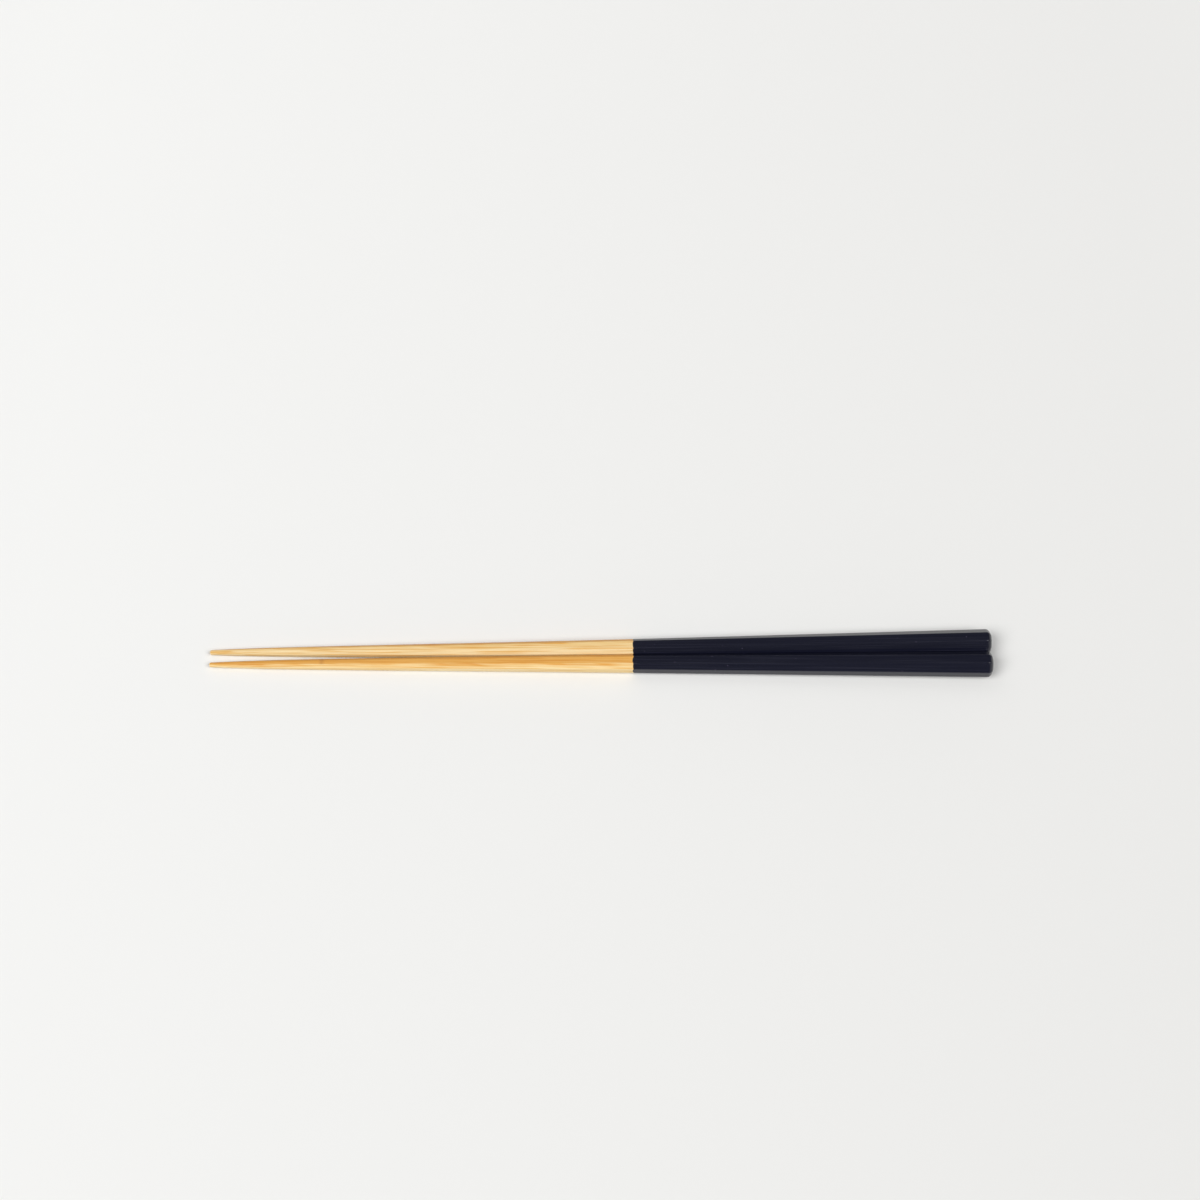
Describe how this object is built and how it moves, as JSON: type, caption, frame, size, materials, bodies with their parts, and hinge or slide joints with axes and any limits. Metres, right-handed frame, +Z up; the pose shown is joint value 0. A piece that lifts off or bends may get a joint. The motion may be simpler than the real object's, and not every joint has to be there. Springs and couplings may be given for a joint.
{
  "type": "pair of bamboo chopsticks",
  "caption": "Slim tapered bamboo chopsticks with eased octagonal section, navy lacquered handle half and bare tips, lying side by side.",
  "frame": {"origin": "on the table, under the middle of the box around both sticks", "axes": "+X along the sticks from the tips to the butts, +Y from the front stick to the back stick, +Z up"},
  "size_m": [0.215, 0.0136, 0.0067],
  "materials": {
    "lacquered_bamboo": "smooth bare bamboo from the tip to the paint line, satin navy lacquer from there to the butt"
  },
  "bodies": {
    "root": {"back_chopstick": "lacquered_bamboo", "front_chopstick": "lacquered_bamboo"}
  },
  "joints": []
}
